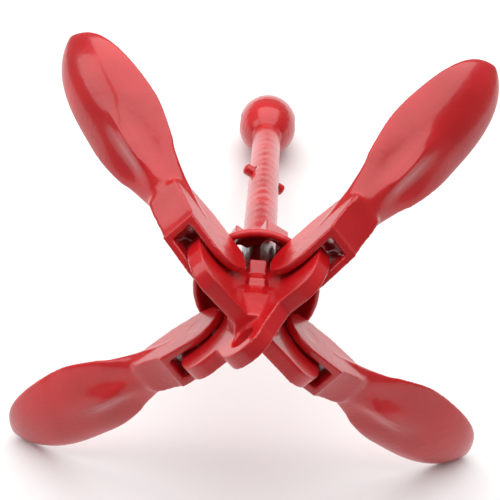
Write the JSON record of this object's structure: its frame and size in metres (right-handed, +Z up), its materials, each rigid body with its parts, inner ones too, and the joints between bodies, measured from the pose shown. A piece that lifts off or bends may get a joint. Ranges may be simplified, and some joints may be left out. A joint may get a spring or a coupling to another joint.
{
  "type": "folding grapnel anchor",
  "caption": "Folding grapnel anchor: ball-headed shank, cross crown with hinged spoon flukes and a trip eye, and a sliding bell collar that keeps the flukes open.",
  "frame": {"origin": "centre of the bounding box's bottom, on the ground under the anchor as it lies on two lower fluke tips and its head", "axes": "+Z up, +X to the right seen from the crown end, +Y from the crown towards the head, level; the shank slopes down to the head"},
  "size_m": [0.1944, 0.2682, 0.1534],
  "materials": {
    "red_coating": "thick glossy red coating over cast iron",
    "pin_coating": "glossy red coating over steel pins"
  },
  "bodies": {
    "anchor_frame": {"shank": "red_coating", "crown": "red_coating", "crown_pin": "pin_coating", "upper_lock_pin": "red_coating", "lower_lock_pin": "red_coating"},
    "sliding_collar": {"collar": "red_coating"},
    "fluke_upper_right": {"fluke_upper_right": "red_coating", "pivot_pin_upper_right": "pin_coating"},
    "fluke_upper_left": {"fluke_upper_left": "red_coating", "pivot_pin_upper_left": "pin_coating"},
    "fluke_lower_left": {"fluke_lower_left": "red_coating", "pivot_pin_lower_left": "pin_coating"},
    "fluke_lower_right": {"fluke_lower_right": "red_coating", "pivot_pin_lower_right": "pin_coating"}
  },
  "joints": [
    {"name": "collar_slide", "type": "slide", "parent": "anchor_frame", "child": "sliding_collar", "axis": [0, 0.9312, -0.3645], "range_m": [0, 0.13]},
    {"name": "fold_upper_right", "type": "hinge", "parent": "anchor_frame", "child": "fluke_upper_right", "pos_m": [0.01805, -0.08897, 0.11332], "axis": [-0.6691, 0.2709, 0.692], "range_deg": [0, 56]},
    {"name": "fold_upper_left", "type": "hinge", "parent": "anchor_frame", "child": "fluke_upper_left", "pos_m": [-0.01589, -0.08897, 0.11332], "axis": [-0.682, -0.2666, -0.681], "range_deg": [0, 51]},
    {"name": "fold_lower_left", "type": "hinge", "parent": "anchor_frame", "child": "fluke_lower_left", "pos_m": [-0.01589, -0.10135, 0.08171], "axis": [0.6561, -0.2751, -0.7028], "range_deg": [0, 70]},
    {"name": "fold_lower_right", "type": "hinge", "parent": "anchor_frame", "child": "fluke_lower_right", "pos_m": [0.01805, -0.10135, 0.08171], "axis": [0.6561, 0.2751, 0.7028], "range_deg": [0, 66]}
  ],
  "couplings": [
    {"joint": "fold_upper_right", "follows": "collar_slide", "rad_per_m": 7.5183},
    {"joint": "fold_upper_left", "follows": "collar_slide", "rad_per_m": 6.847},
    {"joint": "fold_lower_left", "follows": "collar_slide", "rad_per_m": 9.3979},
    {"joint": "fold_lower_right", "follows": "collar_slide", "rad_per_m": 8.8609}
  ]
}
